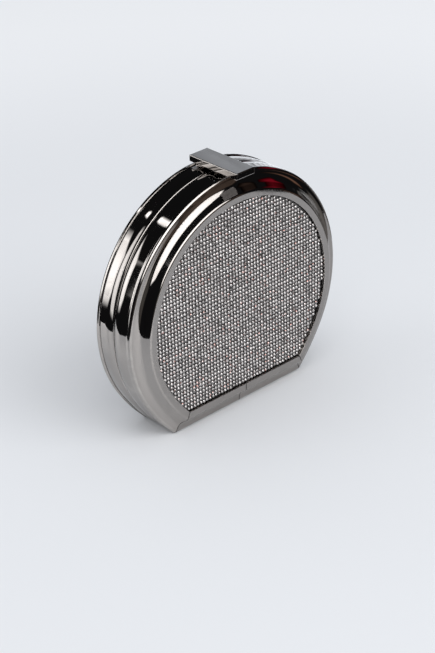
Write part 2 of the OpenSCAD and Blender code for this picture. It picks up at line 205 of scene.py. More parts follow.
def add(tree, kind, values=None, **options):
    """Adds a node to a tree. Values, by name or number of the input, are set on it, or linked if sockets."""
    node = tree.nodes.new(kind)
    for key, value in options.items():
        setattr(node, key, value)
    for key, value in (values or {}).items():
        if isinstance(value, bpy.types.NodeSocket):
            tree.links.new(value, node.inputs[key])
        else:
            node.inputs[key].default_value = value
    return node


def maths(tree, operation, *values):
    return add(tree, "ShaderNodeMath", dict(enumerate(values)), operation=operation).outputs[0]


def spread(tree, value, low, high, to_low=0.0, to_high=1.0):
    """Maps values between low and high to a new range, clamped."""
    node = add(tree, "ShaderNodeMapRange", {"Value": value, "From Min": low, "From Max": high,
                                            "To Min": to_low, "To Max": to_high})
    return node.outputs["Result"]


def blend_colours(tree, factor, a, b):
    """Blend of two colours. In Blender's mixing node, inputs 0, 6 and 7 are the factor and the colours."""
    return add(tree, "ShaderNodeMix", {0: factor, 6: a, 7: b}, data_type="RGBA").outputs[2]


def noise(tree, place, scale, stretch=(1, 1, 1), detail=3.0, rough=0.55):
    """Noise on the object's own coordinates, stretched along its axes."""
    turned = add(tree, "ShaderNodeMapping", {"Vector": place, "Scale": stretch})
    node = add(tree, "ShaderNodeTexNoise", {"Vector": turned.outputs[0], "Scale": scale, "Detail": detail,
                                            "Roughness": rough})
    return node.outputs["Fac"]


def handling_marks(tree, ins):
    """Handling marks on plated metal: smudges, hairline scratches and plating rubbed thin along edges."""
    place = add(tree, "ShaderNodeTexCoord").outputs["Object"]
    big = noise(tree, place, ins["Smudge size"], detail=4.0)
    lines = noise(tree, place, ins["Hairline size"], stretch=(1.0, 0.16, 0.045), detail=2.0)
    hairline = spread(tree, lines, 0.60, 0.78)
    patch = spread(tree, noise(tree, place, 260.0), 0.40, 0.66)
    rubbed = maths(tree, "MULTIPLY", ins["Edge"], maths(tree, "MULTIPLY_ADD", patch, 0.7, 0.2))
    height = maths(tree, "SUBTRACT", maths(tree, "MULTIPLY", big, 0.3), hairline)
    return {"Smudge": spread(tree, big, 0.46, 0.72), "Hairline": hairline, "Rubbed": rubbed, "Height": height}


def nap(tree, ins):
    """Nap of a soft fabric: brushed patches that lie one way or the other, and fine fibres."""
    place = add(tree, "ShaderNodeTexCoord").outputs["Object"]
    lie = spread(tree, noise(tree, place, ins["Patch size"], stretch=(1, 1, 0.6), detail=5.0, rough=0.6), 0.35, 0.65)
    fibre = noise(tree, place, ins["Fibre size"], stretch=(1, 1, 0.35), detail=2.0, rough=0.7)
    return {"Lie": lie, "Fibre": fibre, "Height": maths(tree, "MULTIPLY_ADD", lie, 0.25, fibre)}


GROUPS = {
    "Handling marks": (handling_marks, {"Edge": 0.0, "Smudge size": 70.0, "Hairline size": 900.0}),
    "Fabric nap": (nap, {"Patch size": 45.0, "Fibre size": 1500.0}),
}


def group(tree, name, **values):
    """Places a shader node group, which is made the first time that it is asked for, and returns its outputs.
    All its sockets are numbers."""
    shared = bpy.data.node_groups.get(name)
    if shared is None:
        build, inputs = GROUPS[name]
        shared = bpy.data.node_groups.new(name, "ShaderNodeTree")
        for label, default in inputs.items():
            socket = shared.interface.new_socket(label, in_out="INPUT", socket_type="NodeSocketFloat")
            socket.default_value = default
        made = build(shared, shared.nodes.new("NodeGroupInput").outputs)
        for label in made:
            shared.interface.new_socket(label, in_out="OUTPUT", socket_type="NodeSocketFloat")
        add(shared, "NodeGroupOutput", made)
    named = {key.replace("_", " ").capitalize(): value for key, value in values.items()}
    return add(tree, "ShaderNodeGroup", named, node_tree=shared).outputs


def new_material(name, **sockets):
    """A material with a Principled shader, whose constant sockets are set by name."""
    material = bpy.data.materials.new(name)
    material.use_nodes = True
    tree = material.node_tree
    shader = tree.nodes["Principled BSDF"]
    for key, value in sockets.items():
        shader.inputs[key.replace("_", " ").title()].default_value = value
    return material, tree, shader


def attribute(tree, name):
    return add(tree, "ShaderNodeAttribute", attribute_name=name).outputs["Fac"]


def solid(colour, tone=1.0):
    """The colour, made lighter or darker, with full opacity."""
    return (*(min(1.0, v * tone) for v in colour), 1.0)


def bumped(tree, shader, height, strength, distance):
    bump = add(tree, "ShaderNodeBump", {"Strength": strength, "Distance": distance, "Height": height})
    tree.links.new(bump.outputs[0], shader.inputs["Normal"])


def plated(name, colour, worn, rough, smudge, hairline, rub, bump, smudge_size=70.0, hairline_size=900.0):
    """Plated metal with its own share of handling marks."""
    rubbed_roughness, bump_height = 0.08, 0.00001
    material, tree, shader = new_material(name, metallic=1.0)
    marks = group(tree, "Handling marks", edge=attribute(tree, "wear"), smudge_size=smudge_size,
                  hairline_size=hairline_size)
    base = blend_colours(tree, maths(tree, "MULTIPLY", marks["Rubbed"], rub), colour, worn)
    tree.links.new(base, shader.inputs["Base Color"])
    for mark, amount in (("Smudge", smudge), ("Hairline", hairline), ("Rubbed", rubbed_roughness)):
        rough = maths(tree, "MULTIPLY_ADD", marks[mark], amount, rough)
    tree.links.new(rough, shader.inputs["Roughness"])
    bumped(tree, shader, marks["Height"], bump, bump_height)
    return material


def gunmetal():
    f = settings().finish
    return plated("Polished black nickel", solid(f.gunmetal), solid(f.gunmetal_worn),
                  rough=0.035, smudge=0.035, hairline=0.05, rub=0.8, bump=0.04)


def steel():
    f = settings().finish
    return plated("Satin steel", solid(f.steel), solid(f.steel, 1.25), rough=0.24, smudge=0.10, hairline=0.16,
                  rub=0.6, bump=0.5, smudge_size=120.0, hairline_size=1600.0)


def nickel():
    f = settings().finish
    return plated("Nickel on magnet", solid(f.steel, 0.85), solid(f.steel, 1.2), rough=0.16, smudge=0.12,
                  hairline=0.08, rub=0.5, bump=0.3, smudge_size=300.0)


def mesh_metal():
    f = settings().finish
    return plated("Dark stone mesh", solid(f.mesh), solid(f.mesh, 2.2), rough=0.34, smudge=0.12, hairline=0.10,
                  rub=0.4, bump=0.4, smudge_size=180.0)


def stone():
    """Foiled crystal: each facet's tone is painted reflection, standing in for the light that the facets beneath it
    send back, and a few facets get a painted warm glint.
    """
    f = settings().finish
    material, tree, shader = new_material("Foiled crystal", coat_weight=0.7, coat_roughness=0.03)
    # Painted reflection: the tone makes each facet lighter or darker, as the light from the facets beneath would.
    tone = attribute(tree, "tone")
    base = blend_colours(tree, spread(tree, tone, 0.12, 0.62), solid(f.stone, 0.27), solid(f.stone))
    # Painted glint: marked facets turn warm, standing in for the coloured light that a cut stone throws.
    fire = maths(tree, "MULTIPLY", attribute(tree, "fire"), 0.42)
    base = blend_colours(tree, fire, base, solid(f.fire))
    tree.links.new(base, shader.inputs["Base Color"])
    tree.links.new(spread(tree, tone, 0.0, 1.0, 0.85, 0.45), shader.inputs["Metallic"])
    tree.links.new(spread(tree, tone, 0.0, 1.0, 0.10, 0.26), shader.inputs["Roughness"])
    return material


def suede():
    """Dark suede cloth: brushed patches, fibres and a soft sheen."""
    f = settings().finish
    material, tree, shader = new_material("Dark suede cloth", sheen_weight=0.55, sheen_roughness=0.45)
    shader.inputs["Specular IOR Level"].default_value = 0.25
    cloth = group(tree, "Fabric nap", patch_size=45.0, fibre_size=1500.0)
    base = blend_colours(tree, cloth["Lie"], solid(f.suede, 0.65), solid(f.suede, 1.7))
    base = blend_colours(tree, maths(tree, "MULTIPLY", cloth["Fibre"], 0.35), base, solid(f.suede, 2.6))
    tree.links.new(base, shader.inputs["Base Color"])
    tree.links.new(spread(tree, cloth["Fibre"], 0.2, 0.8, 0.82, 0.95), shader.inputs["Roughness"])
    bumped(tree, shader, cloth["Height"], 0.55, 0.0003)
    return material


def fibre_board():
    """Dark fibre board behind the panel: short fibres and specks."""
    f = settings().finish
    material, tree, shader = new_material("Dark fibre board")
    board = group(tree, "Fabric nap", patch_size=220.0, fibre_size=2600.0)
    base = blend_colours(tree, board["Fibre"], solid(f.board, 0.6), solid(f.board, 1.7))
    tree.links.new(base, shader.inputs["Base Color"])
    tree.links.new(spread(tree, board["Lie"], 0.0, 1.0, 0.72, 0.9), shader.inputs["Roughness"])
    bumped(tree, shader, board["Height"], 0.4, 0.0001)
    return material


def table_top(name="Pale table top", coat=0.65, gloss=0.5, tone=1.0):
    """Pale table: a lacquer round the case that turns duller further out. Its colour is painted paler further out and
    white far off, which stands in for brighter light there.
    """
    f = settings().finish
    material, tree, shader = new_material(name, coat_roughness=0.05)
    shader.inputs["Specular IOR Level"].default_value = gloss
    place = add(tree, "ShaderNodeTexCoord").outputs["Object"]
    cloud = noise(tree, place, 9.0)
    away = add(tree, "ShaderNodeVectorMath", {0: place}, operation="LENGTH").outputs["Value"]
    far = add(tree, "ShaderNodeMapRange", {"Value": away, "From Min": 0.22, "From Max": 0.62},
              interpolation_type="SMOOTHERSTEP").outputs["Result"]
    # Painted light: the colour grows paler from the case outwards, standing in for light that is brighter further out.
    base = blend_colours(tree, maths(tree, "MULTIPLY_ADD", cloud, 0.05, far), solid(f.floor, tone),
                         solid(f.floor_far, tone))
    # Painted light: far off the table turns white, so that it meets the pale background without a darker band.
    base = blend_colours(tree, spread(tree, away, 1.3, 5.0), base, (1.0, 1.0, 1.0, 1.0))
    tree.links.new(base, shader.inputs["Base Color"])
    tree.links.new(spread(tree, far, 0.0, 1.0, coat, 0.0), shader.inputs["Coat Weight"])
    tree.links.new(maths(tree, "MULTIPLY_ADD", cloud, 0.02, 0.45), shader.inputs["Roughness"])
    return material


def floor_top():
    """The same table as the camera sees it, without any gloss."""
    return table_top("Pale table all round", coat=0.0, gloss=0.0, tone=0.97)


FINISHES = {"gunmetal": gunmetal, "steel": steel, "nickel": nickel, "mesh": mesh_metal, "stone": stone,
            "suede": suede, "board": fibre_board, "table": table_top, "floor": floor_top}
MADE = {}


def finish(name):
    """The finish of that name, made the first time that it is asked for."""
    if name not in MADE:
        MADE[name] = FINISHES[name]()
    return MADE[name]


# Sections: lists of [offset outward from the opening, depth from the rim face, normal, normal, wear]


def run(a, b, wear=0.0, steps=1, inset=5e-5):
    """Straight run from a to b. Points = a + s (b - a), its ends drawn in by a hair so that the corner
    between two runs becomes a narrow rounded edge. The normal is the direction turned clockwise."""
    a, b = np.array(a, float), np.array(b, float)
    t = (b - a) / np.linalg.norm(b - a)
    a, b = a + t * inset, b - t * inset
    s = np.linspace(0, 1, steps + 1)[:, None]
    p = a + s * (b - a)
    n = np.tile([t[1], -t[0]], (len(p), 1))
    return np.hstack([p, n, np.full((len(p), 1), wear)])


def bend(centre, radius, start, end, steps, hollow=False, wear=0.0, trim=0.0):
    """Arc about a centre. Point = centre + r (cos a, sin a); its normal points away from the centre,
    or towards it on a hollow stretch."""
    a = np.radians(np.linspace(start + math.copysign(trim, end - start), end, steps + 1))
    u = np.stack([np.cos(a), np.sin(a)], 1)
    return np.hstack([np.array(centre) + radius * u, -u if hollow else u, np.full((len(a), 1), wear)])


def toward(turn):
    """Unit step [offset, depth] for an angle in radians."""
    return np.array([math.cos(turn), math.sin(turn)])


def spaced(section, nearest):
    """The section without points that lie nearer than that to the one before."""
    step = np.linalg.norm(section[:, :2] - np.roll(section[:, :2], 1, axis=0), axis=1)
    return section[step > nearest]


def moulding_section(c):
    """Closed section of a frame strip, outside first: rim, rounded edge, straight slope, cove, flange, lip,
    groove, rounded side wall, mouth, and the inside back to the rim.
    Each arc's centre = its first point plus the radius along its own normal; the side wall's radius is
    chord^2 / (2 chord . normal), so that it is tangent to the rise and ends at the mouth."""
    edge_c = np.array([c.rim_width, c.edge_radius])
    across = np.array([math.sin(c.ogee), -math.cos(c.ogee)])
    slope0 = edge_c + c.edge_radius * across
    slope1 = slope0 + c.slope_length * toward(c.ogee)
    cove_c = slope1 + c.cove_radius * across
    cove_end = cove_c + c.cove_radius * toward(math.pi / 2 + c.flange)
    lip_m = c.moulding - c.lip_radius * (1 - math.sin(c.flange))
    lip_d = cove_end[1] + (lip_m - cove_end[0]) * math.tan(c.flange)
    land = lip_d + c.lip_radius * math.cos(c.flange)
    mouth = c.half_depth - c.seam_gap / 2
    outer = c.moulding - c.waist
    inner = outer - c.wall
    knee = c.rim_thick + c.board + inner / 2
    soft = 1.6e-4
    foot = np.array([c.moulding - c.groove, land + c.land + c.groove])
    step = foot + c.groove * np.array([0.35, -0.75])
    fine = 1e-5
    top = foot + c.rise_length * toward(math.pi / 2 - c.rise)
    inward = np.array([-math.cos(c.rise), math.sin(c.rise)])
    chord = np.array([outer, mouth - c.seam_edge]) - top
    radius = chord @ chord / (2 * chord @ inward)
    wall_c = top + radius * inward
    turn = 2 * math.degrees(math.asin(math.hypot(*chord) / 2 / radius))
    rise, ogee, flange = math.degrees(c.rise), math.degrees(c.ogee), math.degrees(c.flange)
    end = turn - rise
    roll = c.seam_edge / (1 - math.sin(math.radians(end)))
    edge = wall_c + (radius - roll) * toward(math.radians(end))
    parts = [
        bend([soft, soft], soft, 180, 270, 4, wear=1.0),
        run([soft, 0], [c.rim_width, 0], inset=2e-5, steps=2),
        bend(edge_c, c.edge_radius, -90, -90 + ogee, 18),
        run(slope0, slope1, steps=3, inset=1e-4),
        bend(cove_c, c.cove_radius, 90 + ogee, 90 + flange, 24, hollow=True),
        run(cove_end, [lip_m, lip_d], steps=2),
        bend([c.moulding - c.lip_radius, land], c.lip_radius, -90 + flange, 0, 10, wear=0.7),
        run([c.moulding, land], [c.moulding, land + c.land], wear=0.5, inset=fine),
        run([c.moulding, land + c.land], step, inset=fine),
        run(step, foot),
        run(foot, top, steps=4, inset=8e-5),
        bend(wall_c, radius, -rise, end, 24),
        bend(edge, roll, end, 90, 6, wear=0.8, trim=6.0),
        run([edge[0], edge[1] + roll], [inner + soft, edge[1] + roll], inset=2e-5),
        bend([inner + soft, edge[1] + roll - soft], soft, 90, 180, 4, wear=0.6),
        run([inner, edge[1] + roll - soft], [inner, knee], steps=2),
        run([inner, knee], [c.rim_width, c.rim_thick]),
        run([c.rim_width, c.rim_thick], [0, c.rim_thick]),
        run([0, c.rim_thick], [0, soft]),
    ]
    return np.vstack(parts)


# Outline of the case


def lower_centre(c):
    """Centre of the right-hand lower side arc, which is tangent to the round part where it begins."""
    shift = c.lower_radius - c.rim_radius
    return -shift * math.sin(c.lower_start), c.centre_height - shift * math.cos(c.lower_start)


def corner_x(c, m):
    """Where the outline at offset m meets the base rail: cos(angle) = (rail height - centre height) / radius."""
    cx, cz = lower_centre(c)
    a = np.arccos((c.moulding - m - cz) / (c.lower_radius + m))
    return cx + (c.lower_radius + m) * np.sin(a)


def mitre_line(c):
    """The mitre plane in X and Z: a point on it and its direction, outward and down."""
    p = np.array([corner_x(c, 0.0), c.moulding])
    q = np.array([corner_x(c, c.moulding), 0.0])
    return p, q - p


def end_angles(c, m, shift):
    """Angles at which circles of radius lower_radius + m meet the mitre plane moved by shift along X:
    the line p + t v put into the circle's equation gives a quadratic in t, of which the lower root is used."""
    p, v = mitre_line(c)
    centre = np.array(lower_centre(c))
    w = p + [shift, 0] - centre
    a, b = v @ v, 2 * w @ v
    k = w @ w - (c.lower_radius + m) ** 2
    t = (-b + np.sqrt(b * b - 4 * a * k)) / (2 * a)
    x, z = w[0] + t * v[0], w[1] + t * v[1]
    return np.arctan2(x, z)


def arch(c, m, shift):
    """Points of the arched part for offsets m, from the left mitre over the top to the right mitre.
    Rows are stations and columns offsets. Round part: (R + m)(sin a, cos a) about the centre.
    Sides: the same about the lower centres, with a running from lower_start to the mitre.
    Also returns the outward direction in X and Z at each station."""
    m = np.atleast_1d(m)
    cx, cz = lower_centre(c)
    side = max(8, c.arc_steps // 8)
    a = np.linspace(-c.lower_start, c.lower_start, c.arc_steps + 1)[:, None]
    x, z = (c.rim_radius + m) * np.sin(a), c.centre_height + (c.rim_radius + m) * np.cos(a)
    nx, nz = np.sin(a) + 0 * m, np.cos(a) + 0 * m
    s = np.linspace(0, 1, side + 1)[1:, None]
    b = c.lower_start + (end_angles(c, m, shift) - c.lower_start) * s
    xs, zs = cx + (c.lower_radius + m) * np.sin(b), cz + (c.lower_radius + m) * np.cos(b)
    stretches = ((x, xs, -1), (z, zs, 1), (nx, np.sin(b), -1), (nz, np.cos(b), 1))
    return [np.vstack([sign * low[::-1], middle, low]) for middle, low, sign in stretches]


def ring(c, m, per_side=24):
    """Closed outline at offset m with its base chord, as [x, z], without a doubled corner."""
    x, z, _, _ = arch(c, m, 0.0)
    x, z = x[:, 0], z[:, 0]
    s = np.linspace(0, 1, per_side + 1)[1:-1]
    return np.stack([np.r_[x, x[-1] + (x[0] - x[-1]) * s], np.r_[z, z[-1] + (z[0] - z[-1]) * s]], 1)


# Meshes


def grid_faces(rows, cols, close_cols=False, close_rows=False):
    """Quads of a grid of rows x cols points, as an array of four indices each."""
    i = np.arange(rows if close_rows else rows - 1)[:, None]
    j = np.arange(cols if close_cols else cols - 1)[None, :]
    i2, j2 = (i + 1) % rows, (j + 1) % cols
    quad = [i * cols + j, i2 * cols + j, i2 * cols + j2, i * cols + j2]
    return np.stack([np.broadcast_to(q, (i.size, j.size)).ravel() for q in quad], 1)


def end_caps(rows, cols):
    """The two faces that close a grid of rows whose columns run round."""
    return [np.arange(cols), (np.arange(cols) + (rows - 1) * cols)[::-1]]


def prism(line, near, far):
    """Points and faces of a closed line [x, z] carried from one depth to another."""
    points = np.vstack([np.c_[line[:, 0], np.full(len(line), d), line[:, 1]] for d in (near, far)])
    return points, list(grid_faces(2, len(line), close_cols=True)) + end_caps(2, len(line))


def new_object(name, verts, faces, smooth=True):
    """A mesh object from arrays, at the origin."""
    mesh = bpy.data.meshes.new(name)
    mesh.from_pydata(np.asarray(verts, float).tolist(), [], [list(map(int, f)) for f in faces])
    mesh.polygons.foreach_set("use_smooth", np.full(len(mesh.polygons), smooth))
    mesh.update()
    obj = bpy.data.objects.new(name, mesh)
    bpy.context.scene.collection.objects.link(obj)
    return obj


def set_normals(obj, normals, flat):
    """Gives each corner the exact normal of its vertex, and each face marked flat that of its own plane."""
    mesh = obj.data
    index = np.zeros(len(mesh.loops), np.int32)
    mesh.loops.foreach_get("vertex_index", index)
    total = np.zeros(len(mesh.polygons), np.int32)
    mesh.polygons.foreach_get("loop_total", total)
    plane = np.zeros(len(mesh.polygons) * 3, np.float32)
    mesh.polygons.foreach_get("normal", plane)
    own = np.repeat(np.asarray(flat, bool), total)[:, None]
    corner = np.where(own, np.repeat(plane.reshape(-1, 3), total, axis=0), normals[index])
    mesh.normals_split_custom_set(corner.tolist())


def set_value(obj, name, values, domain="POINT"):
    layer = obj.data.attributes.new(name, "FLOAT", domain)
    layer.data.foreach_set("value", np.ascontiguousarray(values, np.float32))


def place_half(c, half, points, normals=None):
    """Turns [x, depth, z] into the place of a half: y = parting - half depth + depth in front,
    and its mirror image behind. Returns points, normals and whether faces must be turned over."""
    sign = 1.0 if half == "front" else -1.0
    out = points.copy()
    out[..., 1] = c.parting_y + sign * (points[..., 1] - c.half_depth)
    if normals is None:
        return out, None, sign < 0
    n = normals.copy()
    n[..., 1] *= sign
    return out, n, sign < 0


def shell(c, half, x, z, section, nx, nz):
    """A closed section carried along stations, with end caps. Point = (x, depth, z); normal = the section's
    outward part along (nx, nz) plus its depth part along Y. Returns points, normals, faces, flat marks, wear."""
    rows, cols = x.shape
    p = np.stack([x, np.broadcast_to(section[:, 1], x.shape), z], -1)
    n = np.stack([nx * section[:, 2], np.broadcast_to(section[:, 3], x.shape), nz * section[:, 2]], -1)
    p, n, turned = place_half(c, half, p, n)
    faces = grid_faces(rows, cols, close_cols=True)
    caps = end_caps(rows, cols)
    if turned:
        faces, caps = faces[:, ::-1], [f[::-1] for f in caps]
    flat = np.r_[np.zeros(len(faces), bool), True, True]
    wear = np.broadcast_to(section[:, 4], x.shape).ravel()
    return p.reshape(-1, 3), n.reshape(-1, 3), list(faces) + caps, flat, wear


def joined(name, shells):
    """One object from several shells, each closed in itself."""
    start = np.cumsum([0] + [len(s[0]) for s in shells])
    faces = [f + start[k] for k, s in enumerate(shells) for f in s[2]]
    obj = new_object(name, np.vstack([s[0] for s in shells]), faces)
    set_normals(obj, np.vstack([s[1] for s in shells]), np.concatenate([s[3] for s in shells]))
    set_value(obj, "wear", np.concatenate([s[4] for s in shells]))
    return obj


def merged(obj):
    """Merges doubled points and makes all faces point outwards."""
    bm = bmesh.new()
    bm.from_mesh(obj.data)
    bmesh.ops.remove_doubles(bm, verts=bm.verts, dist=1e-6)
    bmesh.ops.recalc_face_normals(bm, faces=bm.faces)
    bm.to_mesh(obj.data)
    bm.free()
    return obj


def finished(obj, body, slot, material, *nodes):
    """Gives a piece its material, the body that it rides on and the nodes that it stands for, which are hidden. The
    slot is not used.
    """
    obj.data.materials.clear()
    obj.data.materials.append(material)
    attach(obj, body)
    if nodes:
        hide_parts(*nodes)
    return obj


# Frames


def make_arch(half):
    """Arched strip of a half's frame, mitred at both ends."""
    c = settings().case
    section = moulding_section(c)
    x, z, nx, nz = arch(c, section[:, 0], c.joint_gap / 2)
    obj = joined(f"{half}_arch_moulding", [shell(c, half, x, z, section, nx, nz)])
    return finished(obj, HALVES[half], "gunmetal", finish("gunmetal"), f"{half}_frame_arc")


def cut_back(section, depth):
    """A section whose points past a depth are drawn back to it, without doubled points."""
    s = section.copy()
    past = s[:, 1] > depth
    s[past, 1] = depth
    s[past, 2:4] = [0, 1]
    return spaced(s, 1e-7)


def make_rails(half):
    """The two base strips of a frame: x runs from the mitre to the middle at height width - offset.
    Near the middle the wall is cut back to leave room for the hinge's barrel."""
    c = settings().case
    section = moulding_section(c)
    beside, barrel = 2e-4, 0.00117
    notch = float(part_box("hinge_pin")[1].x) + beside
    room = c.half_depth - barrel
    p, v = mitre_line(c)
    for side, sign in (("left", -1.0), ("right", 1.0)):
        shells = []
        for sec, ends in ((section, "mitre"), (cut_back(section, room), "middle")):
            m = sec[:, 0]
            mitre = p[0] + v[0] * m / c.moulding - c.joint_gap / 2
            rows = [mitre, 0 * m + notch] if ends == "mitre" else [0 * m + notch, 0 * m + c.joint_gap / 2]
            x = sign * np.array(rows)
            if sign < 0:
                x = x[::-1]
            z = np.broadcast_to(c.moulding - m, x.shape)
            shells.append(shell(c, half, x, z, sec, 0 * x, 0 * x - 1))
        obj = joined(f"{half}_{side}_rail_moulding", shells)
        finished(obj, HALVES[half], "gunmetal", finish("gunmetal"), f"{half}_rail_{side}")


# Crystal panels


def inside(c, x, z, m):
    """Whether points lie inside the outline at offset m."""
    cx, cz = lower_centre(c)
    turn = np.arctan2(np.abs(x), z - c.centre_height)
    round_part = np.hypot(x, z - c.centre_height) < c.rim_radius + m
    side_part = np.hypot(np.abs(x) - cx, z - cz) < c.lower_radius + m
    return np.where(turn < c.lower_start, round_part, side_part) & (z > c.moulding - m)


def stone_places(c, p):
    """Centres of the stones in X and Z: a square grid, pitch apart, kept where a stone fits or sits only a
    little under the rim."""
    count = int(2 * (c.rim_radius + c.moulding) / p.pitch) + 2
    i = np.arange(-count // 2, count // 2)
    x = (i + 0.5) * p.pitch
    z = c.moulding + p.mesh_gap + (np.arange(count) + 0.5) * p.pitch - p.gap / 2
    x, z = (g.ravel() for g in np.meshgrid(x, z))
    keep = inside(c, x, z, p.under - (p.pitch - p.gap) / 2)
    return x[keep], z[keep]


def stone_shape(p):
    """One cut stone, [outward x, depth, z]: an octagonal table, a crown of sixteen facets between the table
    and the girdle turned by half a facet, and eight sides down to the foot. Rings = r (cos a, sin a)."""
    r = (p.pitch - p.gap) / 2
    a = np.arange(8) * math.pi / 4
    turned = a + math.pi / 8
    girdle, foot, foot_share = 3.6e-4, 8.2e-4, 0.93
    rings = [(turned, r * p.table_share, 0.0), (a, r, girdle), (a, r * foot_share, foot)]
    v = np.vstack([np.stack([q * np.cos(t), 0 * t + d, q * np.sin(t)], 1) for t, q, d in rings])
    k = np.arange(8)
    k2 = (k + 1) % 8
    bands = ([k, k2, 8 + k2], [8 + k, k, 8 + k2], [8 + k, 8 + k2, 16 + k2, 16 + k])
    around = [face for band in bands for face in np.stack(band, 1)[:, ::-1].tolist()]
    return v, [list(k)] + around + [list((16 + k)[::-1])]


def scatter_shape(name, c, half, shape, faces, places, turns, depth):
    """Copies one small shape to every place: point = place + turn matrix times the shape's point."""
    x, z = places
    v = np.einsum("nij,kj->nki", turns, shape)
    v += np.stack([x, depth, z], 1)[:, None, :]
    v, _, turned = place_half(c, half, v)
    size = len(shape)
    base = np.arange(len(x)) * size
    every = [f for face in faces for f in (np.array(face)[None, :] + base[:, None])]
    if turned:
        every = [f[::-1] for f in every]
    return new_object(name, v.reshape(-1, 3), every, smooth=False)


def stone_turns(n, p, rng):
    """Turn matrices: a random spin about each stone's own axis after a small random tilt."""
    spin = rng.integers(0, 8, n) * math.pi / 4 + rng.normal(0, 0.16, n)
    tx, tz = rng.normal(0, p.tilt, n), rng.normal(0, p.tilt, n)
    s, k = np.sin(spin), np.cos(spin)
    o, i = np.zeros(n), np.ones(n)
    turn = np.array([[k, o, s], [o, i, o], [-s, o, k]]).transpose(2, 0, 1)
    lean = np.array([[i, -tx, o], [tx, i, -tz], [o, tz, i]]).transpose(2, 0, 1)
    return lean @ turn


def make_stones(half):
    """The stones of a panel, one closed shape each, with a tone for every facet that paints its reflections, and
    painted warm glints on a few facets.
    """
    s = settings()
    c, p = s.case, s.panel
    rng = np.random.default_rng(p.seed + (half == "back"))
    places = stone_places(c, p)
    n = len(places[0])
    shape, faces = stone_shape(p)
    top = c.rim_thick - p.mesh_thick - p.stone_rise
    depth = top + np.abs(rng.normal(0, 2e-5, n))
    obj = scatter_shape(f"{half}_stones", c, half, shape, faces, places, stone_turns(n, p, rng), depth)
    # Painted reflection: a tone for every facet, shifted for every stone, which stands in for the light that the facets
    # beneath reflect.
    tone = rng.beta(1.1, 1.4, (len(faces), n)) * 0.64 + rng.uniform(0, 0.36, n)[None, :]
    set_value(obj, "tone", tone.ravel(), "FACE")
    # Painted glint: about one facet in thirty is marked to flash warm.
    set_value(obj, "fire", (rng.random((len(faces), n)) < 0.035).astype(float).ravel(), "FACE")
    return finished(obj, HALVES[half], "crystal", finish("stone"))


def make_stone_mesh(half):
    """The mesh under the stones: a thin plate on the outline, and round each stone an eight-sided cup,
    whose rings are r (cos a, sin a) at three depths."""
    s = settings()
    c, p = s.case, s.panel
    back = c.rim_thick
    face = back - p.mesh_thick
    places = stone_places(c, p)
    n = len(places[0])
    a = np.arange(8) * math.pi / 4
    r = p.pitch / 2
    rings = [(r * 0.97, 0.0), (r * 0.955, -3.0e-4), (r * 0.86, -2.6e-4), (r * 0.84, 0.0)]
    shape = np.vstack([np.stack([q * np.cos(a), 0 * a + d, q * np.sin(a)], 1) for q, d in rings])
    faces = grid_faces(4, 8, close_cols=True, close_rows=True)[:, ::-1].tolist()
    turns = np.broadcast_to(np.eye(3), (n, 3, 3))
    cups = scatter_shape(f"{half}_cups", c, half, shape, faces, places, turns, np.full(n, face))
    plate, sides = prism(ring(c, -p.mesh_gap), face, back)
    plate, _, _ = place_half(c, half, plate)
    base = merged(new_object(f"{half}_stone_mesh", plate, sides, smooth=False))
    merge_into(base, cups)
    return finished(base, HALVES[half], "crystal", finish("mesh"), f"{half}_crystal_mesh")


def merge_into(target, other):
    """Adds another object's mesh to the target's and removes the other object."""
    bm = bmesh.new()
    bm.from_mesh(target.data)
    bm.from_mesh(other.data)
    bm.to_mesh(target.data)
    bm.free()
    bpy.data.objects.remove(other)


# Lining and tongue


def make_lining(half):
    """Fabric tray. Rings of the outline, each at its own offset and depth: from the middle of the floor out,
    up a rounded cove and the wall, over a rolled hem, and back behind. On the floor a ring is the outline
    drawn towards the middle by a share, and its depth swells by puff (1 - share^2). The cove is the curve
    (1 - t)^2 start + 2 t (1 - t) corner + t^2 end."""
    s = settings()
    c, w = s.case, s.lining
    wall = c.moulding - c.waist - c.wall
    outer = wall - 2 * w.clear - w.tongue
    inner = outer - w.thick
    back = c.rim_thick + c.board + 5e-5
    under = back + 2e-5
    mouth = c.half_depth - w.short
    knee = back + wall / 2
    centre = np.array([0.0, c.centre_height])
    start, corner, end = (np.array(v) for v in (
        [c.rim_width - 0.0015, back + w.thick], [inner - 0.0022, knee - 0.0030], [inner, knee + 0.0035]))
    floor_line = ring(c, start[0])
    shares = np.array([0.04, 0.2, 0.4, 0.6, 0.75, 0.87, 0.94, 0.98])

    def flat_ring(line, share_out, depth):
        return np.c_[centre + (line - centre) * share_out, np.full(len(line), depth)]

    rows = [flat_ring(floor_line, q, start[1] + w.puff * (1 - q * q)) for q in shares]
    t = np.linspace(0, 1, 13)[:, None]
    cove = (1 - t) ** 2 * start + 2 * t * (1 - t) * corner + t ** 2 * end
    b = np.radians(np.linspace(200, -20, 9))
    roll = np.array([outer - w.hem, mouth - w.hem]) + w.hem * np.stack([np.cos(b), np.sin(b)], 1)
    roll[:, 0] = np.minimum(roll[:, 0], outer)
    behind = np.array([[outer, knee + 0.0012], [c.rim_width + w.thick, under]])
    rows += [flat_ring(ring(c, m), 1.0, d) for m, d in np.vstack([cove, roll, behind])]
    rows.append(flat_ring(ring(c, c.rim_width), shares[0], under))
    grid = np.array(rows)[:, :, [0, 2, 1]]
    points, _, _ = place_half(c, half, grid)
    faces = list(grid_faces(*grid.shape[:2], close_cols=True)) + end_caps(*grid.shape[:2])
    obj = merged(new_object(f"{half}_fabric_lining", points.reshape(-1, 3), faces))
    return finished(obj, HALVES[half], "lining", finish("suede"), f"{half}_lining")


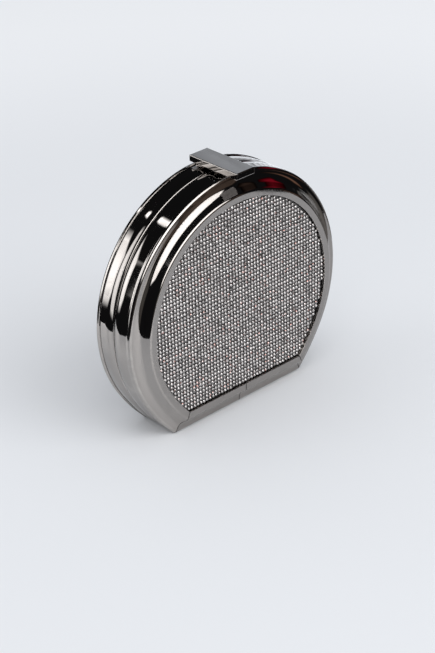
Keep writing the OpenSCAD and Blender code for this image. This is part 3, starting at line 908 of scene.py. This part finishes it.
def make_tongue():
    """Curved strip inside the joint: a rounded flat section carried round the arched part."""
    s = settings()
    c, w = s.case, s.lining
    out = c.moulding - c.waist - c.wall - w.clear
    low, high = c.half_depth - w.tongue_seat, c.half_depth + w.tongue_reach
    r = w.tongue / 2
    mid = out - r
    section = np.vstack([
        bend([mid, low + r], r, 180, 360, 8),
        run([out, low + r], [out, high - r], inset=1e-6),
        bend([mid, high - r], r, 0, 180, 8, wear=0.7),
        run([out - 2 * r, high - r], [out - 2 * r, low + r], inset=1e-6),
    ])
    section = spaced(section, 1.5e-6)
    a = np.linspace(-w.tongue_end, w.tongue_end, 217)[:, None]
    m = section[:, 0]
    x, z = (c.rim_radius + m) * np.sin(a), c.centre_height + (c.rim_radius + m) * np.cos(a)
    obj = joined("mouth_tongue_strip", [shell(c, "back", x, z, section, np.sin(a) + 0 * m, np.cos(a) + 0 * m)])
    return finished(obj, "back_half", "gunmetal", finish("gunmetal"), "mouth_tongue")


# Lift bar


def rounded_box(name, low, high, radius, steps=6):
    """Box with round edges and corners. On each face a grid runs over both corners: with a and b from -1 to 0
    at one corner and 0 to 1 at the other, point = corner centre + r (1, a, b) / |(1, a, b)|."""
    low, high = np.array(low), np.array(high)
    t = np.r_[np.linspace(-1, 0, steps + 1), np.linspace(0, 1, steps + 1)]
    t = np.tan(t * math.pi / 4)
    side = np.r_[np.zeros(steps + 1), np.ones(steps + 1)].astype(int)
    a, b = np.meshgrid(t, t, indexing="ij")
    sa, sb = np.meshgrid(side, side, indexing="ij")
    verts, faces = [], []
    quads = grid_faces(len(t), len(t))
    for axis in range(3):
        for end in (0, 1):
            d = np.zeros(a.shape + (3,))
            pick = np.zeros(a.shape + (3,), int)
            d[..., axis] = 2 * end - 1
            pick[..., axis] = end
            d[..., (axis + 1) % 3], d[..., (axis + 2) % 3] = a, b
            pick[..., (axis + 1) % 3], pick[..., (axis + 2) % 3] = sa, sb
            centre = np.where(pick == 1, high - radius, low + radius)
            p = centre + radius * d / np.linalg.norm(d, axis=-1, keepdims=True)
            faces += list(quads + len(verts) * a.size)
            verts.append(p.reshape(-1, 3))
    obj = new_object(name, np.vstack(verts), faces)
    return merged(obj)


def rod(name, centre, axis, radius, half, steps=48):
    """Closed cylinder about a centre: rings of centre + r (cos a, sin a) at both ends of the axis."""
    a = np.linspace(0, 2 * math.pi, steps, endpoint=False)
    u, v = (axis + 1) % 3, (axis + 2) % 3
    p = np.zeros((2, steps, 3))
    p[..., u], p[..., v] = radius * np.cos(a), radius * np.sin(a)
    p[0, :, axis], p[1, :, axis] = -half, half
    p += np.array(centre)
    faces = list(grid_faces(2, steps, close_cols=True)) + [end[::-1] for end in end_caps(2, steps)]
    return merged(new_object(name, p.reshape(-1, 3), faces, smooth=False))


def shade_box(obj, low, high, radius):
    """Exact normals of a rounded box: from the box drawn in by the radius to the point, over the radius. Faces
    that a cutter left keep their own plane. Wear grows towards the middle of the round edges."""
    mesh = obj.data
    p = np.zeros(len(mesh.vertices) * 3, np.float32)
    mesh.vertices.foreach_get("co", p)
    p = p.reshape(-1, 3).astype(float)
    n = p - np.clip(p, low + radius, high - radius)
    n /= np.maximum(np.linalg.norm(n, axis=1), 1e-9)[:, None]
    alike, rub = 0.9, 3.0
    flat = [n[list(f.vertices)].mean(axis=0) @ np.array(f.normal) < alike for f in mesh.polygons]
    mesh.polygons.foreach_set("use_smooth", np.ones(len(mesh.polygons), bool))
    set_normals(obj, n, flat)
    set_value(obj, "wear", np.clip((1 - np.abs(n).max(axis=1)) * rub, 0, 1))


def make_bar():
    """Lift bar: a rounded box less the slot for its knuckle, the bore for its pin and the magnet's seat."""
    b = settings().bar
    low, high = (np.array(v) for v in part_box("lift_bar"))
    bar = rounded_box("lift_bar_polished", low, high, b.edge)
    pin = [0.0, high[1] - b.pin_back, low[2] + b.pin_up]
    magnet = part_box("bar_magnet")
    mid = (np.array(magnet[0]) + np.array(magnet[1])) / 2
    slot = np.array([b.slot_half, b.slot_radius, b.pin_up])
    sharp = 1e-5
    cutters = [
        rod("cut_slot", pin, 0, b.slot_radius, b.slot_half),
        rounded_box("cut_under", np.array(pin) - slot * [1, 1, 3], np.array(pin) + slot * [1, 1, 0.02], sharp, 1),
        rod("cut_bore", pin, 0, b.bore, b.bore_half, 24),
        rod("cut_seat", [mid[0], mid[1], low[2]], 2, b.magnet_radius, b.magnet_deep),
    ]
    for tool in cutters:
        cut = bar.modifiers.new(tool.name, "BOOLEAN")
        cut.operation, cut.solver, cut.object = "DIFFERENCE", "EXACT", tool
    bpy.context.view_layer.update()
    made = bpy.data.meshes.new_from_object(bar.evaluated_get(bpy.context.evaluated_depsgraph_get()))
    bar.modifiers.clear()
    bar.data = made
    for tool in cutters:
        bpy.data.objects.remove(tool)
    if len(made.polygons) < 100:
        raise RuntimeError("the lift bar could not be cut")
    shade_box(bar, low, high, b.edge)
    return finished(bar, "clasp", "gunmetal", finish("gunmetal"), "lift_bar")


# Fittings that keep their solid's shape


def dress_fittings():
    """Gives the hinges, pins, screws, blocks, boards and magnet their finishes."""
    kinds = {
        "board": ("front_board", "back_board"),
        "steel": ("hinge_leaf_front", "hinge_leaf_back", "hinge_rivets_front", "hinge_rivets_back", "hinge_pin",
                  "bar_pin", "bar_hinge_screw", "catch_screw", "catch_keeper"),
        "gunmetal": ("bar_hinge_block", "catch_block"),
        "nickel": ("bar_magnet",),
    }
    for kind, names in kinds.items():
        for name in names:
            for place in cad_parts[name].material_slots:
                place.material = finish(kind)


# Studio


def direction(azimuth, elevation):
    """Unit vector from the case: azimuth 0 is the front, -90 the left, 90 the right."""
    a, e = np.radians(azimuth), np.radians(elevation)
    return np.stack([np.sin(a) * np.cos(e), -np.cos(a) * np.cos(e), np.sin(e)], -1)


def glowing(name, colour, strength, fading=False):
    """Glowing material. Where it fades, the glow follows the attribute from the border to the middle."""
    material = bpy.data.materials.new(name)
    material.use_nodes = True
    tree = material.node_tree
    tree.nodes.clear()
    power = maths(tree, "MULTIPLY", attribute(tree, "glow"), strength) if fading else strength
    glow = add(tree, "ShaderNodeEmission", {"Color": solid(colour), "Strength": power})
    out = add(tree, "ShaderNodeOutputMaterial")
    tree.links.new(glow.outputs[0], out.inputs["Surface"])
    return material


def seen_in_metal_only(obj):
    """The object shows in reflections only, and neither lights nor shades anything."""
    obj.visible_camera = obj.visible_diffuse = obj.visible_shadow = False
    obj.visible_transmission = obj.visible_volume_scatter = False
    return obj


def card(name, corners, distance, colour, strength, soft):
    """A card with soft edges, seen in the metal. Its corners lie in the given directions at one distance, and
    long sides are split so that they follow the great circle between two corners. An inner ring stands
    at the share 1 - soft between middle and border: the glow is whole inside it and fades to the border."""
    d = direction(*np.array(corners, float).T)
    t = np.linspace(0, 1, 9)[:-1, None, None]
    edge = (1 - t) * d[None] + t * np.roll(d, -1, axis=0)[None]
    border = np.swapaxes(edge, 0, 1).reshape(-1, 3)
    border *= distance / np.linalg.norm(border, axis=1)[:, None]
    middle = border.mean(axis=0)
    k = len(border)
    rings = [border, middle + (border - middle) * (1 - soft / 2), middle + (border - middle) * (1 - soft)]
    fan = [[j, (j + 1) % k, 3 * k] for j in range(2 * k, 3 * k - 1)] + [[3 * k - 1, 2 * k, 3 * k]]
    faces = list(grid_faces(3, k, close_cols=True)) + fan
    obj = new_object(name, np.vstack(rings + [middle]) + np.array(AIM), faces, smooth=False)
    set_value(obj, "glow", np.repeat([0.0, 0.4, 1.0, 1.0], [k, k, k, 1]))
    obj.data.materials.append(glowing(name, colour, strength, fading=True))
    return seen_in_metal_only(obj)


# Each card: name, corners as azimuth and elevation in degrees, distance, colour, strength, share of soft border.
CARDS = (
    ("Softbox above the camera", [(-54, 36), (-48, 20), (-31, 8), (-14, 10), (8, 14), (24, 18), (35, 30), (38, 52),
                                  (27, 62), (5, 65), (-20, 62), (-42, 50)], 1.0, (1.0, 0.99, 0.98), 4.6, 0.10),
    ("Warm card below it", [(5, -4), (40, -20), (40, 24), (10, 18)], 1.1, (0.17, 0.125, 0.10), 1.0, 0.15),
    ("Low bright card", [(0, -18), (22, -18), (22, -8), (0, -8)], 1.05, (1.0, 0.98, 0.96), 1.2, 0.4),
    ("Grey card", [(-30, -18), (2, -18), (2, 5), (-28, 5)], 1.2, (0.14, 0.13, 0.12), 1.0, 0.3),
    ("Softbox behind left, first half", [(-152, -12), (-136, -8), (-125, 2), (-123, 31), (-136, 32), (-162, 30),
                                         (-158, 10)], 1.0, (1.0, 1.0, 1.0), 3.4, 0.30),
    ("Softbox behind left, second half", [(-114, -8), (-95, -11), (-93, 30), (-102, 59), (-118, 56), (-121, 30),
                                          (-120, 8)], 1.0, (1.0, 1.0, 1.0), 2.8, 0.22),
    ("Slanted strip", [(-167, 36), (-153, 47), (-138, 55), (-142, 60), (-153, 56), (-167, 42)], 1.0,
     (1.0, 1.0, 1.0), 5.5, 0.7),
    ("Pale backdrop, lower part", [(121, -36), (150, -36), (146, 17), (121, 17)], 1.28, (0.72, 0.76, 0.82), 2.0, 0.08),
    ("Pale backdrop, left edge", [(103, 3), (122, 0), (122, 17), (106, 20)], 1.3, (0.72, 0.76, 0.82), 2.0, 0.2),
    ("First streak", [(80, -13), (83, -13), (84, 1), (81, 2)], 1.1, (0.8, 0.82, 0.85), 1.0, 0.5),
    ("Second streak", [(90, -14), (95, -14), (95, 0), (91, 2)], 1.1, (0.8, 0.82, 0.85), 1.3, 0.5),
    ("Third streak", [(101, -15), (107, -15), (105, -3), (101, 1)], 1.1, (0.8, 0.82, 0.85), 1.5, 0.5),
    ("Brown card at the right", [(46, -13), (58, -9), (72, -4), (68, 0), (54, -4), (44, -8)], 1.1,
     (0.34, 0.19, 0.13), 1.0, 0.6),
    ("Dull card in front", [(22, -19), (36, -24), (35, -19), (27, -11), (22, -9)], 1.0, (0.62, 0.58, 0.56), 1.0, 0.4),
    ("Pale backdrop, upper part", [(114, 15), (147, 15), (147, 38), (132, 46), (114, 38)], 1.25,
     (0.68, 0.73, 0.80), 1.0, 0.08),
    ("Dark red card", [(60, 14), (80, 18), (98, 12), (98, 24), (80, 34), (64, 28)], 1.0, (0.42, 0.012, 0.03), 1.0, 0.7),
    ("Dark brown card", [(46, 30), (64, 34), (90, 38), (84, 50), (60, 48)], 1.05, (0.06, 0.038, 0.03), 1.0, 0.7),
    ("Grey card on the right", [(56, -27), (112, -26), (110, 2), (80, -4), (58, -12)], 1.3, (0.26, 0.25, 0.24),
     1.0, 0.2),
)


# Each lamp: name, which is also its setting, azimuth and elevation in degrees, distance, size and colour.
LAMPS = (
    ("Key", -40, 54, 2.2, 1.5, (1.0, 0.99, 0.98)),
    ("Side", -118, 38, 2.2, 1.5, (1.0, 1.0, 1.0)),
    ("Fill", 15, 42, 2.4, 1.8, (0.98, 0.99, 1.0)),
)
# The point that lamps look at and cards stand round.
AIM = Vector((0.0, 0.0, 0.05))


def table_outline(s):
    """The part of the table that shows in the metal: a round outline drawn out towards the front right.
    Points = middle + (r + reach max(0, cos(a + 45 degrees))^2) (cos a, sin a)."""
    middle, reach = np.array([-0.024, -0.004]), 0.07
    a = np.linspace(0, 2 * math.pi, 96, endpoint=False)
    r = s.table_radius + reach * np.maximum(0, np.cos(a + math.pi / 4)) ** 2
    return middle + r[:, None] * np.stack([np.cos(a), np.sin(a)], 1)


def flat_sheet(name, outline, height, material):
    n = len(outline)
    obj = new_object(name, np.c_[outline, np.full(n, height)], [list(range(n))], smooth=False)
    obj.data.materials.append(material)
    return obj


def clear_of_halves(floor):
    """Takes the floor out of the room inside each half. At rest both stand on the floor and nothing is taken;
    a half that swings below the floor keeps its inside free. The room = the outline a hair inside the
    moulding, carried from the rim face to a little beyond the parting plane."""
    c = settings().case
    hair, beyond = 0.0004, 0.004
    room_points, faces = prism(ring(c, c.moulding - hair), hair, c.half_depth + beyond)
    for half, body in HALVES.items():
        points, _, _ = place_half(c, half, room_points)
        room = merged(new_object(f"{half}_room", points, faces, smooth=False))
        room.hide_render = True
        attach(room, body)
        cut = floor.modifiers.new(room.name, "BOOLEAN")
        cut.operation, cut.solver, cut.object = "DIFFERENCE", "EXACT", room


def area_light(name, azimuth, elevation, distance, size, colour, power):
    """Soft light that looks at the case and doesn't show in the metal."""
    lamp = bpy.data.lights.new(name, "AREA")
    lamp.shape, lamp.size, lamp.energy, lamp.color = "DISK", size, power, colour
    obj = bpy.data.objects.new(name, lamp)
    bpy.context.scene.collection.objects.link(obj)
    place = Vector(direction(azimuth, elevation) * distance) + AIM
    turn = (AIM - place).to_track_quat("-Z", "Y").to_matrix().to_4x4()
    obj.matrix_world = Matrix.Translation(place) @ turn
    obj.visible_glossy = obj.visible_camera = False


def make_camera(s):
    """Camera at the photo's viewing angle: right, up and back vectors from azimuth and elevation, then roll."""
    back = Vector(direction(math.degrees(s.azimuth), math.degrees(s.elevation)))
    right = (-back).cross(Vector((0, 0, 1))).normalized()
    up = right.cross(-back)
    x = math.cos(s.roll) * right + math.sin(s.roll) * up
    y = -math.sin(s.roll) * right + math.cos(s.roll) * up
    data = bpy.data.cameras.new("Camera")
    data.lens, data.sensor_width, data.clip_start = s.lens, 36.0, 0.01
    camera = bpy.data.objects.new("Camera", data)
    turn = Matrix((x, y, back)).transposed().to_4x4()
    camera.matrix_world = Matrix.Translation(s.camera_place) @ turn
    bpy.context.scene.collection.objects.link(camera)
    bpy.context.scene.camera = camera


def make_studio():
    """Pale table, dark room with soft panels for the metal to reflect, three soft lights and the camera."""
    scene = bpy.context.scene
    s = scene.evening_case.studio
    scene.view_settings.view_transform = "Standard"
    table_level, floor_level, floor_half = -0.00005, -0.00007, 25
    seen_in_metal_only(flat_sheet("Table_top", table_outline(s), table_level, finish("table")))
    square = np.array([[-1.0, -1.0], [1.0, -1.0], [1.0, 1.0], [-1.0, 1.0]])
    floor = flat_sheet("Floor", square * floor_half, floor_level, finish("floor"))
    floor.visible_glossy = False
    clear_of_halves(floor)
    t, u = np.meshgrid(np.linspace(0, math.pi, 25), np.linspace(0, 2 * math.pi, 48, endpoint=False), indexing="ij")
    ball = s.dome * np.stack([np.sin(t) * np.cos(u), np.sin(t) * np.sin(u), np.cos(t)], -1)
    room = merged(new_object("Dark_room", ball.reshape(-1, 3), grid_faces(*t.shape, close_cols=True)))
    room.data.materials.append(glowing("Dark room", (0.012, 0.012, 0.013), 1.0))
    seen_in_metal_only(room)
    for name, *shape in CARDS:
        card(name.replace(" ", "_").replace(",", ""), *shape)
    for name, *lamp in LAMPS:
        area_light(name, *lamp, getattr(s, name.lower()))
    world = bpy.data.worlds.new("Pale room")
    world.use_nodes = True
    sky = world.node_tree.nodes["Background"].inputs
    sky["Color"].default_value = solid(scene.evening_case.finish.room)
    sky["Strength"].default_value = s.room_light
    scene.world = world
    make_camera(s)


# Operators


def for_both(make):
    """Makes a piece once for each half."""
    for half in HALVES:
        make(half)


class CASE_OT_arches(bpy.types.Operator):
    """Arched strips of both frames"""
    bl_idname = "evening_case.arches"
    bl_label = "Arched frames"

    def execute(self, context):
        for_both(make_arch)
        return {"FINISHED"}


class CASE_OT_rails(bpy.types.Operator):
    """Base strips of both frames"""
    bl_idname = "evening_case.rails"
    bl_label = "Base rails"

    def execute(self, context):
        for_both(make_rails)
        return {"FINISHED"}


class CASE_OT_stone_mesh(bpy.types.Operator):
    """Mesh with a cup round every stone"""
    bl_idname = "evening_case.stone_mesh"
    bl_label = "Stone mesh"

    def execute(self, context):
        for_both(make_stone_mesh)
        return {"FINISHED"}


class CASE_OT_stones(bpy.types.Operator):
    """Cut stones of both panels"""
    bl_idname = "evening_case.stones"
    bl_label = "Stones"

    def execute(self, context):
        for_both(make_stones)
        return {"FINISHED"}


class CASE_OT_linings(bpy.types.Operator):
    """Fabric trays inside both halves"""
    bl_idname = "evening_case.linings"
    bl_label = "Linings"

    def execute(self, context):
        for_both(make_lining)
        return {"FINISHED"}


class CASE_OT_tongue(bpy.types.Operator):
    """Curved strip inside the joint"""
    bl_idname = "evening_case.tongue"
    bl_label = "Tongue"

    def execute(self, context):
        make_tongue()
        return {"FINISHED"}


class CASE_OT_bar(bpy.types.Operator):
    """Lift bar across the top"""
    bl_idname = "evening_case.bar"
    bl_label = "Lift bar"

    def execute(self, context):
        make_bar()
        return {"FINISHED"}


class CASE_OT_fittings(bpy.types.Operator):
    """Finishes of hinges, pins, screws, blocks, boards and magnet"""
    bl_idname = "evening_case.fittings"
    bl_label = "Fittings"

    def execute(self, context):
        dress_fittings()
        return {"FINISHED"}


class CASE_OT_studio(bpy.types.Operator):
    """Table, room, lights and camera"""
    bl_idname = "evening_case.studio"
    bl_label = "Studio"

    def execute(self, context):
        make_studio()
        return {"FINISHED"}


OPERATORS = (CASE_OT_arches, CASE_OT_rails, CASE_OT_stone_mesh, CASE_OT_stones, CASE_OT_linings, CASE_OT_tongue,
             CASE_OT_bar, CASE_OT_fittings, CASE_OT_studio)


class CASE_PT_panel(bpy.types.Panel):
    """Lists the case's pieces and their settings"""
    bl_idname = "CASE_PT_panel"
    bl_label = "Evening case"
    bl_space_type = "VIEW_3D"
    bl_region_type = "UI"
    bl_category = "Evening case"

    def draw(self, context):
        column = self.layout.column(align=True)
        for operator in OPERATORS:
            column.operator(operator.bl_idname)
        everything = context.scene.evening_case
        for part in ("case", "panel", "lining", "bar", "finish", "studio"):
            box = self.layout.box()
            box.label(text=part.title())
            values = getattr(everything, part)
            for name in values.__annotations__:
                box.prop(values, name)


CLASSES = (CaseSizes, PanelSizes, LiningSizes, BarSizes, Finishes, Studio, EveningCase) + OPERATORS + (CASE_PT_panel,)


def register():
    for cls in CLASSES:
        bpy.utils.register_class(cls)
    bpy.types.Scene.evening_case = PointerProperty(type=EveningCase)


def unregister():
    del bpy.types.Scene.evening_case
    for cls in reversed(CLASSES):
        bpy.utils.unregister_class(cls)


def corners(box):
    return [[round(float(v), 6) for v in corner] for corner in box]


def main():
    register()
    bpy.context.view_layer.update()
    case = bpy.ops.evening_case
    case.arches()
    case.rails()
    case.stone_mesh()
    case.stones()
    case.linings()
    case.tongue()
    case.bar()
    case.fittings()
    case.studio()


if __name__ == "__main__":
    main()
